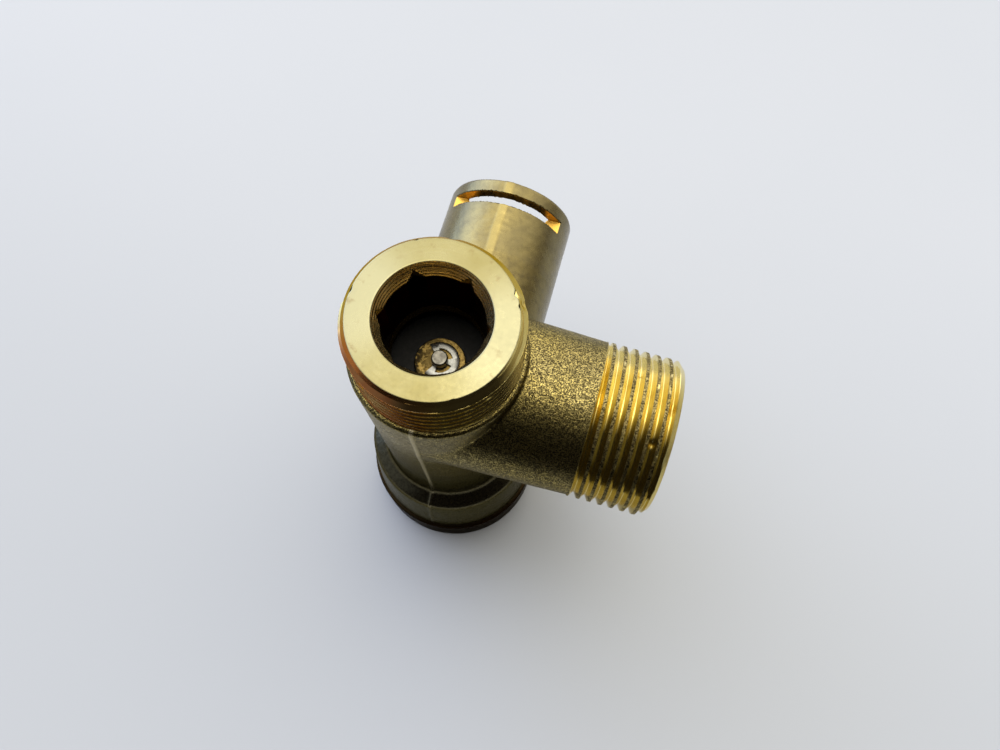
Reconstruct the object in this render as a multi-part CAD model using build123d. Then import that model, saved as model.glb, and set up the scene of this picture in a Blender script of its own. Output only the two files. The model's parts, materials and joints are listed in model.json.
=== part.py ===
from build123d import *
import os
from math import sin, cos, radians, pi, sqrt

# Three-way diverter valve, standing on its actuator end.
# Millimetres.  Origin: centre of the base face, +Z up along the stem.
# The threaded side port looks along +X, the clip socket along +Y.

# ---------------------------------------------------------------- dimensions
# heights along the main axis
H_TOTAL = 90.0            # base face to top port face
COLLAR_Z = 78.0           # where the cast skin ends and the top thread starts
SIDE_Z = 63.15            # axis of the threaded side port
BACK_Z = 42.2             # axis of the clip socket
RIM_Z = 27.2              # crease between the flare and the bell
RING_Z = 11.0             # top of the machined ring at the base

# outer radii
THREAD_R = 13.22          # G 3/4 major radius
FACE_R = 12.12            # sealing face, inside the lead chamfer
COLLAR_R = 14.0
NECK_R = 13.35            # neck at its foot (cast draft up to the collar)
FOOT_Z = 34.5
RIM_R = 16.5
BELL_R = 17.75
RING_R = 18.4
STUB_R = 13.05            # cast side stub
SIDE_LEN = 38.0           # main axis to side port face
SIDE_THREAD = 12.0
SOCKET_R = 13.0           # clip socket, outside
SOCKET_LEN = 44.9         # main axis to socket mouth
SOCKET_BORE_R = 10.2
SOCKET_DEPTH = 17.0
SLOT_Y0, SLOT_Y1 = 40.0, 42.4
SLOT_FLOOR = 6.87         # slot floor above and below the socket axis

# inner radii
MOUTH_R = 8.48            # countersink at the top face
TOP_BORE_R = 7.4
MOUTH_DEPTH = 2.6
HEX_AF = 14.0             # broached hexagon, across flats
HEX_DEPTH = 12.0
HEX_TURN = 7.0            # first corner, degrees from +X
SIDE_BORE_R = 9.0
BACK_BORE_R = 6.5
CHAMBER_R = 9.8           # middle chamber, both discs work in it
CHAMBER_Z0, CHAMBER_Z1 = 52.4, 76.2
SEAT_Z = 74.8             # upper seat lip
CAGE_BORE_R = 11.0
BELL_BORE_R = 15.0
BELL_STEP_Z = 22.0
CLIP_GROOVE_R = 15.75

# stem and stack
TRAVEL = 4.0
STEM_R = 2.0
STEM_END_R = 1.33
STEM_Z0, STEM_Z1 = 3.5, 73.7
SHOULDER_Z = 70.7
DISC_R, DISC_T = 8.8, 2.5
HUB_R, HUB_T = 4.08, 1.0
BACK_WASHER_R, BACK_WASHER_T = 7.5, 1.0
LOWER_SEAT_TOP = 53.2     # lip of the cage seat
LOWER_DISC_Z = 53.3       # underside of the lower disc, closed on its seat
ECLIP_R, ECLIP_T = 3.15, 0.6

os.makedirs("parts", exist_ok=True)


def cyl(r, z0, z1):
    """Upright cylinder on the main axis between two heights."""
    return Pos(0, 0, z0) * Cylinder(r, z1 - z0, align=(Align.CENTER, Align.CENTER, Align.MIN))


def tube(ro, ri, z0, z1):
    return cyl(ro, z0, z1) - cyl(ri, z0 - 1, z1 + 1)


def cyl_x(r, x0, x1, z):
    return Pos(x0, 0, z) * Rot(0, 90, 0) * Cylinder(r, x1 - x0, align=(Align.CENTER, Align.CENTER, Align.MIN))


def cyl_y(r, y0, y1, z):
    return Pos(0, y0, z) * Rot(-90, 0, 0) * Cylinder(r, y1 - y0, align=(Align.CENTER, Align.CENTER, Align.MIN))


def spun(points):
    """Solid of revolution about Z from a closed list of (radius, height)."""
    wire = Polyline(*[(r, 0, z) for r, z in points], close=True)
    return revolve(make_face(wire), Axis.Z, 360)


def save(shape, name):
    export_step(shape, f"parts/{name}.step")


# ---------------------------------------------------------------- valve body
# One hot-pressed brass casting, turned at its ports: bell and neck are one
# round form, with a side stub and a back socket grown out of it.
outer = spun([
    (0, 0), (RING_R - 0.35, 0), (RING_R, 0.35), (RING_R, RING_Z - 0.5), (RING_R - 0.45, RING_Z),
    (BELL_R, RING_Z + 0.15), (RIM_R + 0.25, RIM_Z - 1.1), (RIM_R, RIM_Z - 0.35), (RIM_R - 0.45, RIM_Z + 0.15),
    (14.55, 29.6), (13.75, 31.6), (NECK_R, FOOT_Z),
    (COLLAR_R, COLLAR_Z - 0.6), (COLLAR_R - 0.45, COLLAR_Z), (THREAD_R, COLLAR_Z),
    (THREAD_R, H_TOTAL - 1.5), (FACE_R, H_TOTAL), (0, H_TOTAL),
])
stub = cyl_x(STUB_R, 0, SIDE_LEN - SIDE_THREAD, SIDE_Z)
side_thread = cyl_x(THREAD_R, SIDE_LEN - SIDE_THREAD, SIDE_LEN, SIDE_Z)
side_end = side_thread.faces().sort_by(Axis.X)[-1]
side_thread = chamfer(side_end.edges(), 1.1)
socket = cyl_y(SOCKET_R, 0, SOCKET_LEN, BACK_Z)
socket = fillet(socket.faces().sort_by(Axis.Y)[-1].edges(), 0.5)

body = outer + stub + socket
joints = [e for e in body.edges()
          if e.geom_type not in (GeomType.LINE, GeomType.CIRCLE) and e.length > 12
          and (e @ 0.5).Z < COLLAR_Z - 1 and (e @ 0.5).Y < 30 and (e @ 0.5).X < 20]
try:
    rounded = fillet(joints, 0.9)
    body = rounded if rounded.is_valid else body
except Exception:
    pass
body = body + side_thread

# main bore, from the top: countersink, bore, seat lip, middle chamber,
# cage bore, bell bore with the groove of the retaining ring
inner = spun([
    (0, H_TOTAL + 1), (MOUTH_R + 0.4, H_TOTAL + 1), (MOUTH_R, H_TOTAL), (TOP_BORE_R, H_TOTAL - MOUTH_DEPTH),
    (TOP_BORE_R, SEAT_Z), (TOP_BORE_R + 0.7, SEAT_Z), (TOP_BORE_R + 1.4, CHAMBER_Z1), (CHAMBER_R, CHAMBER_Z1),
    (CHAMBER_R, CHAMBER_Z0), (CAGE_BORE_R, CHAMBER_Z0),
    (CAGE_BORE_R, BELL_STEP_Z + 0.8), (CAGE_BORE_R + 0.8, BELL_STEP_Z), (BELL_BORE_R, BELL_STEP_Z),
    (BELL_BORE_R, 18.95), (CLIP_GROOVE_R, 18.95), (CLIP_GROOVE_R, 17.65), (BELL_BORE_R, 17.65),
    (BELL_BORE_R, 1.0), (BELL_BORE_R + 1.0, 0), (BELL_BORE_R + 1.0, -1), (0, -1),
])
hexagon = extrude(Pos(0, 0, H_TOTAL - HEX_DEPTH) * Rot(0, 0, HEX_TURN) * RegularPolygon(HEX_AF / 2, 6, major_radius=False, rotation=0),
                  HEX_DEPTH + 2)
side_bore = cyl_x(SIDE_BORE_R, 0, SIDE_LEN + 1, SIDE_Z)
side_mouth = Pos(SIDE_LEN, 0, SIDE_Z) * Rot(0, 90, 0) * Cone(SIDE_BORE_R - 0.5, SIDE_BORE_R + 1.0, 1.5)
back_bore = cyl_y(BACK_BORE_R, 0, SOCKET_LEN, BACK_Z)
socket_bore = cyl_y(SOCKET_BORE_R, SOCKET_LEN - SOCKET_DEPTH, SOCKET_LEN + 1, BACK_Z)
pipe_rest = cyl_y(SOCKET_BORE_R - 1.4, SOCKET_LEN - SOCKET_DEPTH - 6, SOCKET_LEN, BACK_Z)
socket_mouth = Pos(0, SOCKET_LEN, BACK_Z) * Rot(-90, 0, 0) * Cone(SOCKET_BORE_R - 0.6, SOCKET_BORE_R + 1.2, 1.8)
slot_w = SLOT_Y1 - SLOT_Y0
slot_top = Pos(0, SLOT_Y0, BACK_Z + SLOT_FLOOR) * Box(40, slot_w, 20, align=(Align.CENTER, Align.MIN, Align.MIN))
slot_low = Pos(0, SLOT_Y0, BACK_Z - SLOT_FLOOR) * Box(40, slot_w, 20, align=(Align.CENTER, Align.MIN, Align.MAX))
valve_body = body - inner - hexagon - side_bore - side_mouth - back_bore - socket_bore - pipe_rest - socket_mouth - slot_top - slot_low
save(valve_body, "valve_body")

# ---------------------------------------------------------------- stem
# Stainless rod, stepped down at the top, with one groove for each clip.
lower_hub_z0 = LOWER_DISC_Z - HUB_T
lower_clip_z0 = lower_hub_z0 - 0.05 - ECLIP_T
upper_hub_z0 = SHOULDER_Z
upper_clip_z0 = SHOULDER_Z + HUB_T + 0.05
CAP_Z0, CAP_Z1 = 6.5, 8.0
cap_clip_z0 = CAP_Z0 - 0.05 - ECLIP_T
stem = spun([
    (0, STEM_Z0), (STEM_R - 0.5, STEM_Z0), (STEM_R, STEM_Z0 + 0.5),
    (STEM_R, cap_clip_z0 - 0.05), (1.5, cap_clip_z0 - 0.05), (1.5, CAP_Z0), (STEM_R, CAP_Z0),
    (STEM_R, lower_clip_z0 - 0.05), (1.5, lower_clip_z0 - 0.05), (1.5, lower_hub_z0), (STEM_R, lower_hub_z0),
    (STEM_R, SHOULDER_Z), (STEM_END_R, SHOULDER_Z),
    (STEM_END_R, upper_clip_z0 - 0.02), (1.0, upper_clip_z0 - 0.02), (1.0, upper_clip_z0 + ECLIP_T + 0.05),
    (STEM_END_R, upper_clip_z0 + ECLIP_T + 0.05),
    (STEM_END_R, STEM_Z1 - 0.2), (STEM_END_R - 0.2, STEM_Z1), (0, STEM_Z1),
])
save(stem, "stem")


# ---------------------------------------------------------------- E-clips
def e_clip(groove_r, outer_r, z0, turn):
    """Flat clip: an open ring with three prongs that reach into the groove.
    Its mouth looks along the direction turn, degrees from +X."""
    ring_in = groove_r + 0.62 * (outer_r - groove_r)
    ring = tube(outer_r, ring_in, z0, z0 + ECLIP_T)
    reach = 0.5 * (ring_in + outer_r)
    prong = Pos((groove_r + reach) / 2, 0, z0 + ECLIP_T / 2) * Box(reach - groove_r, 1.15 * groove_r, ECLIP_T)
    for a in (180, 62, -62):
        ring = ring + Rot(0, 0, a) * prong
    ring = ring - cyl(groove_r + 0.02, z0 - 1, z0 + 2)
    mouth = Pos(outer_r / 2 + groove_r * 0.5, 0, z0 + ECLIP_T / 2) * Box(outer_r, 1.66 * groove_r, 3)
    clip = ring - mouth
    return Rot(0, 0, turn) * clip


save(e_clip(1.0, ECLIP_R, upper_clip_z0, 174), "upper_e_clip")
save(e_clip(1.5, 3.6, lower_clip_z0, 60), "lower_e_clip")
save(e_clip(1.5, 3.6, cap_clip_z0, 200), "cap_e_clip")

# ---------------------------------------------------------------- disc stack
fit = 0.03                # radial play of each piece on the stem


def washer(ro, ri, z0, z1, edge=0.15):
    return spun([(ri, z0), (ro - edge, z0), (ro, z0 + edge), (ro, z1 - edge), (ro - edge, z1), (ri, z1)])


save(washer(HUB_R, STEM_END_R + fit, upper_hub_z0, upper_hub_z0 + HUB_T), "upper_hub_washer")
save(washer(HUB_R, STEM_R + fit, lower_hub_z0, LOWER_DISC_Z), "lower_hub_washer")
upper_disc_z0 = SHOULDER_Z - DISC_T
lower_disc_z1 = LOWER_DISC_Z + DISC_T
save(washer(DISC_R, STEM_R + fit, upper_disc_z0, SHOULDER_Z, 0.4), "upper_disc")
save(washer(DISC_R, STEM_R + fit, LOWER_DISC_Z, lower_disc_z1, 0.4), "lower_disc")
save(washer(BACK_WASHER_R, STEM_R + fit, upper_disc_z0 - BACK_WASHER_T, upper_disc_z0), "upper_backing_washer")
save(washer(BACK_WASHER_R, STEM_R + fit, lower_disc_z1, lower_disc_z1 + BACK_WASHER_T), "lower_backing_washer")
save(washer(3.2, STEM_R + fit, lower_disc_z1 + BACK_WASHER_T, upper_disc_z0 - BACK_WASHER_T, 0.3), "spacer_sleeve")

# ---------------------------------------------------------------- seat cage
# Turned insert: the lower seat on top, four legs with windows between them
# towards the clip socket, and a foot ring that stands on the bonnet.
BONNET_TOP = 30.0
CAGE_R = CAGE_BORE_R - 0.05
SEAT_BORE_R = 6.8
cage = spun([
    (SEAT_BORE_R, 48.9), (CAGE_R, 48.9), (CAGE_R, 49.6), (9.25, 49.6), (9.25, 51.8), (CAGE_R, 51.8), (CAGE_R, CHAMBER_Z0),
    (SEAT_BORE_R + 1.5, CHAMBER_Z0), (SEAT_BORE_R + 0.9, LOWER_SEAT_TOP), (SEAT_BORE_R + 0.2, LOWER_SEAT_TOP),
    (SEAT_BORE_R, LOWER_SEAT_TOP - 0.2),
]) + tube(CAGE_R, 9.3, BONNET_TOP, 49.2)
for a in (0, 90):
    cage = cage - Pos(0, 0, (33.0 + 48.9) / 2) * Rot(0, 0, a) * Box(40, 13.0, 48.9 - 33.0)
save(cage, "seat_cage")


def o_ring(mean_r, cord_r, z):
    return Pos(0, 0, z) * Torus(mean_r, cord_r)


save(o_ring(10.12, 0.85, 50.7), "cage_o_ring")

# ---------------------------------------------------------------- bonnet
# Turned gland: a spigot in the cage bore, a flange against the bell's step,
# and a packing bore for the two stem seals.
GLAND_R = 4.0
STEM_BORE_R = STEM_R + 0.05
bonnet = spun([
    (STEM_BORE_R, BONNET_TOP), (CAGE_R - 0.6, BONNET_TOP), (CAGE_R, BONNET_TOP - 0.6),
    (CAGE_R, 27.2), (9.25, 27.2), (9.25, 25.0), (CAGE_R, 25.0), (CAGE_R, BELL_STEP_Z),
    (BELL_BORE_R - 0.05, BELL_STEP_Z), (BELL_BORE_R - 0.05, 19.0), (7.2, 19.0), (6.9, 19.6), (4.6, 19.6), (4.4, 19.0),
    (GLAND_R, 19.0), (GLAND_R, 27.0), (STEM_BORE_R, 27.0),
])
save(bonnet, "bonnet")
save(o_ring(10.12, 0.85, 26.1), "bonnet_o_ring")
save(o_ring(STEM_R + 0.03 + 0.95, 0.95, 26.0), "stem_o_ring_upper")
save(o_ring(STEM_R + 0.03 + 0.95, 0.95, 23.3), "stem_o_ring_lower")
save(washer(GLAND_R - 0.04, STEM_BORE_R, 24.3, 25.0, 0.1), "o_ring_spacer")
save(washer(GLAND_R - 0.02, STEM_BORE_R, 20.3, 22.3, 0.2), "gland_washer")

# retaining ring: open flat ring in the bell's groove, a lug with a hole at each end
RING_T = 1.15
ring_z = 17.75
clip_ring = tube(15.6, 13.9, ring_z, ring_z + RING_T)
gap = Pos(0, -15, ring_z) * Box(6.4, 8, 5)
clip_ring = clip_ring - gap
for s in (-1, 1):
    lug = Pos(s * 4.6, -13.0, ring_z) * Cylinder(1.55, RING_T, align=(Align.CENTER, Align.CENTER, Align.MIN))
    clip_ring = clip_ring + lug
    clip_ring = clip_ring - Pos(s * 4.6, -12.9, ring_z - 1) * Cylinder(0.8, 4, align=(Align.CENTER, Align.CENTER, Align.MIN))
save(clip_ring, "bonnet_retaining_ring")

# ---------------------------------------------------------------- spring and cap
WIRE_R = 0.45
SPRING_R = 5.75
SPRING_TOP = 19.55
turns_z0, turns_z1 = CAP_Z1 + WIRE_R + 0.02, SPRING_TOP - WIRE_R
helix = Helix(pitch=(turns_z1 - turns_z0) / 5.0, height=turns_z1 - turns_z0, radius=SPRING_R)
helix = Pos(0, 0, turns_z0) * helix
spring = sweep(Plane(origin=helix @ 0, z_dir=helix % 0) * Circle(WIRE_R), path=helix, is_frenet=True)
save(spring, "return_spring")

spring_cap = spun([
    (STEM_R + fit, CAP_Z0), (4.6, CAP_Z0), (4.9, CAP_Z0), (6.9, CAP_Z0), (7.1, CAP_Z0 + 0.2), (7.1, CAP_Z1 - 0.2), (6.9, CAP_Z1),
    (4.9, CAP_Z1), (4.6, CAP_Z1 + 2.2), (STEM_R + fit, CAP_Z1 + 2.2),
])
save(spring_cap, "spring_cap")
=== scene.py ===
import json
import bpy
import numpy as np
from math import radians, degrees, pi, sin, cos, sqrt
from mathutils import Matrix, Vector

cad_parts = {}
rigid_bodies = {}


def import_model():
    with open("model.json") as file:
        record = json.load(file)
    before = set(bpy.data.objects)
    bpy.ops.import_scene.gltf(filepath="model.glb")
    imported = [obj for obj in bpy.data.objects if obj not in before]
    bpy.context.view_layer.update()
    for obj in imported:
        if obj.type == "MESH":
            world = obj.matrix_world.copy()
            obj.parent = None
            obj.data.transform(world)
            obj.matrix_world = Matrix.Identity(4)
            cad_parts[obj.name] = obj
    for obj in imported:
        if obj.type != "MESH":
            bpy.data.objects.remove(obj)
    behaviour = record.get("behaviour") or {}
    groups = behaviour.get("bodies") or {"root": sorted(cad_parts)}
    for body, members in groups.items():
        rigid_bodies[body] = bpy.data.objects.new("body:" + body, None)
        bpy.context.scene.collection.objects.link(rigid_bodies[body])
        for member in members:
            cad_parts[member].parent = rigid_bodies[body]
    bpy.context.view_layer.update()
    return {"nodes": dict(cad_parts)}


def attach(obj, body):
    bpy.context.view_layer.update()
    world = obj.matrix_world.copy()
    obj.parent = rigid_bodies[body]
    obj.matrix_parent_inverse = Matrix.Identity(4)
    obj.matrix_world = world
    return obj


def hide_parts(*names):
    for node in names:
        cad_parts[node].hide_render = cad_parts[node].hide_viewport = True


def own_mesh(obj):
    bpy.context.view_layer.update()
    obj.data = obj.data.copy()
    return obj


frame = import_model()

# Three-way diverter valve.  Shapes are worked out in millimetres in the CAD
# frame (origin at the centre of the base face, +Z up, side port +X, clip
# socket +Y) and written to the meshes in metres.
MM = 0.001
NODES = frame["nodes"]

H_TOTAL, COLLAR_Z, SIDE_Z, BACK_Z = 90.0, 78.0, 63.15, 42.2
THREAD_R, FACE_R, PITCH = 13.22, 12.12, 1.85
STUB_ROOT_R, STUB_END_R, SIDE_X0, SIDE_X1 = 13.88, 13.08, 25.1, 38.0
SOCKET_R, SOCKET_LEN = 13.0, 44.9
RING_Z = 11.0
SPLIT_Y = 30.0            # the socket's mouth end is a finer piece of its own


# ---------------------------------------------------------------- mesh tools
def make_mesh(name, verts, faces, normals=None, sharp=None):
    me = bpy.data.meshes.new(name)
    me.from_pydata((np.asarray(verts, float) * MM).tolist(), [], faces)
    me.update()
    me.polygons.foreach_set("use_smooth", np.ones(len(me.polygons), bool))
    if normals is not None:
        me.normals_split_custom_set_from_vertices(np.asarray(normals, float).tolist())
    elif sharp is not None:
        me.set_sharp_from_angle(angle=radians(sharp))
    ob = bpy.data.objects.new(name, me)
    bpy.context.scene.collection.objects.link(ob)
    return ob


def smooth(e0, e1, v):
    t = np.clip((v - e0) / (e1 - e0), 0.0, 1.0)
    return t * t * (3.0 - 2.0 * t)


def soft_min(a, b, k):
    h = np.clip(0.5 + 0.5 * (b - a) / k, 0.0, 1.0)
    return b + (a - b) * h - k * h * (1.0 - h)


rng = np.random.default_rng(7)
WAVE_DIR = rng.normal(size=(14, 3))
WAVE_DIR /= np.linalg.norm(WAVE_DIR, axis=1)[:, None]
WAVE_LEN = np.geomspace(2.2, 11.0, 14)
WAVE_PH = rng.uniform(0, 2 * pi, 14)


def ripple(x, y, z, first=0, last=14):
    """Smooth, seeded unevenness, about -1 to 1."""
    s = 0.0
    for d, length, ph in zip(WAVE_DIR[first:last], WAVE_LEN[first:last], WAVE_PH[first:last]):
        s = s + np.sin((x * d[0] + y * d[1] + z * d[2]) * (2 * pi / length) + ph)
    return s / sqrt(last - first)


class Turned:
    """Signed distance to a solid of revolution, from a table over radius and height."""

    def __init__(self, points, r_max, z0, z1, step=0.05):
        self.z0, self.step = z0, step
        r = np.arange(0.0, r_max + step, step)
        z = np.arange(z0, z1 + step, step)
        R, Z = np.meshgrid(r, z, indexing="ij")
        d = np.full(R.shape, 1e9)
        inside = np.zeros(R.shape, bool)
        for (ax, az), (bx, bz) in zip(points, points[1:] + points[:1]):
            ex, ez = bx - ax, bz - az
            q = ex * ex + ez * ez
            if q < 1e-12:
                continue
            t = np.clip(((R - ax) * ex + (Z - az) * ez) / q, 0, 1)
            d = np.minimum(d, (R - ax - t * ex) ** 2 + (Z - az - t * ez) ** 2)
            if az != bz:
                inside ^= ((az > Z) != (bz > Z)) & (R < (bx - ax) * (Z - az) / (bz - az) + ax)
        d = np.sqrt(d)
        self.t = np.where(inside, -d, d).astype(np.float32)

    def __call__(self, r, z):
        u = np.clip(r / self.step, 0, self.t.shape[0] - 1.001)
        v = np.clip((z - self.z0) / self.step, 0, self.t.shape[1] - 1.001)
        i, j = u.astype(np.int32), v.astype(np.int32)
        a, b = (u - i), (v - j)
        t = self.t
        return (t[i, j] * (1 - a) + t[i + 1, j] * a) * (1 - b) + (t[i, j + 1] * (1 - a) + t[i + 1, j + 1] * a) * b


def corner_cut(points, times=2):
    """Rounds the corners of an open line, ends kept."""
    for _ in range(times):
        out = [points[0]]
        for (ax, az), (bx, bz) in zip(points, points[1:]):
            out += [(0.75 * ax + 0.25 * bx, 0.75 * az + 0.25 * bz), (0.25 * ax + 0.75 * bx, 0.25 * az + 0.75 * bz)]
        points = out + [points[-1]]
    return points


def surface_net(fn, lo, hi, h, keep=()):
    """Mesh of fn = 0 in a box.  keep lists (axis, side) whose open border is
    held on the plane of the last cell centres, so that two pieces meet there."""
    n = [int(round((hi[a] - lo[a]) / h)) + 1 for a in range(3)]
    ax = [(lo[a] + h * np.arange(n[a])).astype(np.float32) for a in range(3)]
    V = np.empty(n, np.float32)
    Y, Z = np.meshgrid(ax[1], ax[2], indexing="ij")
    for i0 in range(0, n[0], 8):
        xs = ax[0][i0:i0 + 8]
        X = np.broadcast_to(xs[:, None, None], (len(xs),) + Y.shape)
        V[i0:i0 + 8] = fn(X, np.broadcast_to(Y, X.shape), np.broadcast_to(Z, X.shape))
    S = V < 0
    C = np.zeros([k - 1 for k in n], np.int8)
    for a in (0, 1):
        for b in (0, 1):
            for c in (0, 1):
                C += S[a:n[0] - 1 + a, b:n[1] - 1 + b, c:n[2] - 1 + c]
    act = (C > 0) & (C < 8)
    cells = np.argwhere(act)
    index = np.full(act.shape, -1, np.int32)
    index[act] = np.arange(len(cells))
    corner = np.array([(a, b, c) for a in (0, 1) for b in (0, 1) for c in (0, 1)])
    vals = np.array([V[tuple((cells + k).T)] for k in corner])
    total, count = np.zeros((len(cells), 3)), np.zeros(len(cells))
    for p in range(8):
        for q in range(p + 1, 8):
            if np.abs(corner[p] - corner[q]).sum() != 1:
                continue
            va, vb = vals[p], vals[q]
            m = (va < 0) != (vb < 0)
            t = np.where(m, va / np.where(m, va - vb, 1.0), 0.0)[:, None]
            total += np.where(m[:, None], corner[p] * (1 - t) + corner[q] * t, 0.0)
            count += m
    P = (cells + total / count[:, None]) * h + np.array(lo)
    held = np.ones((len(P), 3))
    for a, side in keep:
        edge = cells[:, a] == (0 if side < 0 else n[a] - 2)
        P[edge, a] = lo[a] + h / 2 if side < 0 else hi[a] - h / 2
        held[edge, a] = 0.0
    faces = []
    for a in range(3):
        b, c = (a + 1) % 3, (a + 2) % 3
        s0 = [slice(None)] * 3
        s1 = [slice(None)] * 3
        s0[a], s1[a] = slice(0, n[a] - 1), slice(1, n[a])
        for k in (b, c):
            s0[k] = s1[k] = slice(1, n[k] - 1)
        change = S[tuple(s0)] != S[tuple(s1)]
        e = np.argwhere(change)
        for k in (b, c):
            e[:, k] += 1
        inside_first = S[tuple(e.T)]
        quad = []
        for db, dc in ((-1, -1), (0, -1), (0, 0), (-1, 0)):
            w = e.copy()
            w[:, b] += db
            w[:, c] += dc
            quad.append(index[tuple(w.T)])
        quad = np.array(quad).T
        quad = np.where(inside_first[:, None], quad, quad[:, ::-1])
        faces.append(quad)
    faces = np.concatenate(faces)
    faces = faces[(faces >= 0).all(1)]

    def slope(P, e):
        g = np.empty_like(P)
        for a in range(3):
            d = np.zeros(3)
            d[a] = e
            g[:, a] = fn(*(P + d).T) - fn(*(P - d).T)
        return g / (2 * e)

    for _ in range(3):
        g = slope(P, 0.03) * held
        f = fn(*P.T)
        step = (f / np.maximum((g * g).sum(1), 0.05))[:, None] * g
        P -= np.clip(step, -0.6 * h, 0.6 * h)
    N = slope(P, 0.14)
    N /= np.linalg.norm(N, axis=1)[:, None]
    return P, faces, N


def part_of(P, faces, N, choose):
    """The faces that choose(centre) picks, with their own vertices."""
    f = faces[choose(P[faces].mean(1))]
    used = np.unique(f)
    new = np.full(len(P), -1, np.int64)
    new[used] = np.arange(len(used))
    return P[used], new[f], N[used]


def grid_faces(rows, cols, shift=0):
    """Quads of a closed grid; after one turn a row meets the row shift further on."""
    f = []
    for j in range(rows - 1):
        for i in range(cols - 1):
            f.append((j * cols + i, j * cols + i + 1, (j + 1) * cols + i + 1, (j + 1) * cols + i))
        if j + 1 + shift < rows:
            f.append((j * cols + cols - 1, (j + shift) * cols, (j + 1 + shift) * cols, (j + 1) * cols + cols - 1))
    return f


# ---------------------------------------------------------------- cast body
skin = corner_cut([(17.75, 11.05), (17.5, 15.5), (16.78, 25.9), (16.55, 26.8), (16.2, 27.35), (15.0, 28.25), (13.85, 29.15),
                   (13.45, 30.6), (13.38, 34.5), (13.4, 38.0)], 2)
outer_round = Turned([(-6, 9.0), (17.72, 9.0)] + skin + [(13.99, 77.0), (14.0, 77.35), (13.85, 77.72), (13.5, 78.0), (11.4, 78.0), (11.4, 84.0), (-6, 84.0)],
                     30.0, 8.0, 84.0)
socket_round = Turned([(-6, -8.0), (13.25, -8.0), (13.0, 30.0), (13.0, 44.6), (12.86, 45.0), (12.5, 45.15), (-6, 45.15)], 34.0, -12.0, 50.0)


def outer_body(x, y, z):
    f = outer_round(np.hypot(x, y), z)
    t = np.clip(x / SIDE_X0, 0.0, 1.0)
    rs = np.hypot(y, z - SIDE_Z - 0.1 * t) - (STUB_ROOT_R + (STUB_END_R - STUB_ROOT_R) * t)
    stub = np.maximum(rs * 0.9995, -x - 0.1)
    f = soft_min(f, stub, 0.32)
    sock = np.maximum(socket_round(np.hypot(x, z - BACK_Z), y), -y)
    f = soft_min(f, sock, 1.5)
    # parting line: a fine ridge down the front, a wider dressed strip on the socket
    front = smooth(-7.0, -10.0, y) * smooth(RING_Z + 0.6, RING_Z + 2.5, z) * smooth(77.6, 76.4, z)
    f = f - 0.24 * np.exp(-((x - 0.15) / 0.36) ** 2) * front
    back = smooth(13.5, 17.0, y)
    f = f - 0.06 * smooth(1.15, 0.5, np.abs(x + 0.35 + 0.12 * np.sin(y * 0.6))) * back
    return f - 0.014 * ripple(x, y, z, 4, 14)


def outer_fine(x, y, z):
    return outer_body(x, y, z) - 0.007 * ripple(x * 2.1, y * 2.1, z * 2.1, 0, 8)


inner_round = Turned([(-6, 80.0), (7.4, 80.0), (7.4, 74.8), (8.1, 74.8), (8.8, 76.2), (9.8, 76.2), (9.8, 52.4), (11.0, 52.4), (11.0, 22.8),
                      (11.8, 22.0), (14.0, 22.0), (14.0, 20.0), (-6, 20.0)], 22.0, 16.0, 84.0)
bore_round = Turned([(-6, 0.0), (6.5, 0.0), (6.5, 21.9), (8.8, 21.9), (8.8, 27.9), (10.2, 27.9), (10.2, 44.0), (9.6, 44.0), (11.4, 45.8), (16.0, 50.4), (-6, 50.4)],
                    34.0, -4.0, 50.0)
bore_round_in = Turned([(-6, 0.0), (6.5, 0.0), (6.5, 21.9), (8.8, 21.9), (8.8, 27.9), (10.2, 27.9), (10.2, 50.4), (-6, 50.4)], 34.0, -4.0, 50.0)
mouth_cone = Turned([(-6, 38.0), (8.5, 38.0), (10.2, 41.4), (11.75, 44.5), (14.5, 50.0), (-6, 50.0)], 34.0, 30.0, 50.0)


def inner_body(x, y, z):
    """Negative in the hollows."""
    f = inner_round(np.hypot(x, y), z)
    f = np.minimum(f, np.maximum(np.hypot(y, z - SIDE_Z) - 9.0, -x))
    return np.minimum(f, bore_round_in(np.hypot(x, z - BACK_Z), y))


def socket_end(x, y, z):
    f = outer_fine(x, y, z)
    hollow = np.minimum(bore_round_in(np.hypot(x, z - BACK_Z), y), mouth_cone(np.hypot(x, z - BACK_Z), y))
    dz = np.abs(z - BACK_Z) - 6.87
    edge = 0.05 * np.sin(x * 1.3 + 0.4) + 0.03 * np.sin(x * 3.1)
    slot = np.maximum(np.maximum((39.8 + edge * 0.4) - y, y - 42.35 - edge * 0.4), -dz)
    return np.maximum(f, -np.minimum(hollow, slot))


h = 0.3
P, F, N = surface_net(outer_fine, (SIDE_X0 + h / 2 - 145 * h, -18.15, 10.2), (SIDE_X0 + h / 2, -18.15 + 161 * h, 79.2), h, keep=((0, 1),))
# the net's back border lies on the plane where the finer socket end starts
back_plane = -18.15 + 160.5 * h
upper = part_of(P, F, N, lambda c: c[:, 2] >= 40.0)
lower = part_of(P, F, N, lambda c: c[:, 2] < 40.0)
cast_upper = make_mesh("body_cast_upper", upper[0], upper[1].tolist(), upper[2])
cast_lower = make_mesh("body_cast_lower", lower[0], lower[1].tolist(), lower[2])

hs = 0.24
y0 = back_plane - 0.9
P, F, N = surface_net(socket_end, (-14.4, y0, BACK_Z - 14.4), (14.4, y0 + 70 * hs, BACK_Z + 14.4), hs)
keep = part_of(P, F, N, lambda c: c[:, 1] > back_plane - 0.45)
socket_piece = make_mesh("body_socket_end", keep[0], keep[1].tolist(), keep[2])

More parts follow.
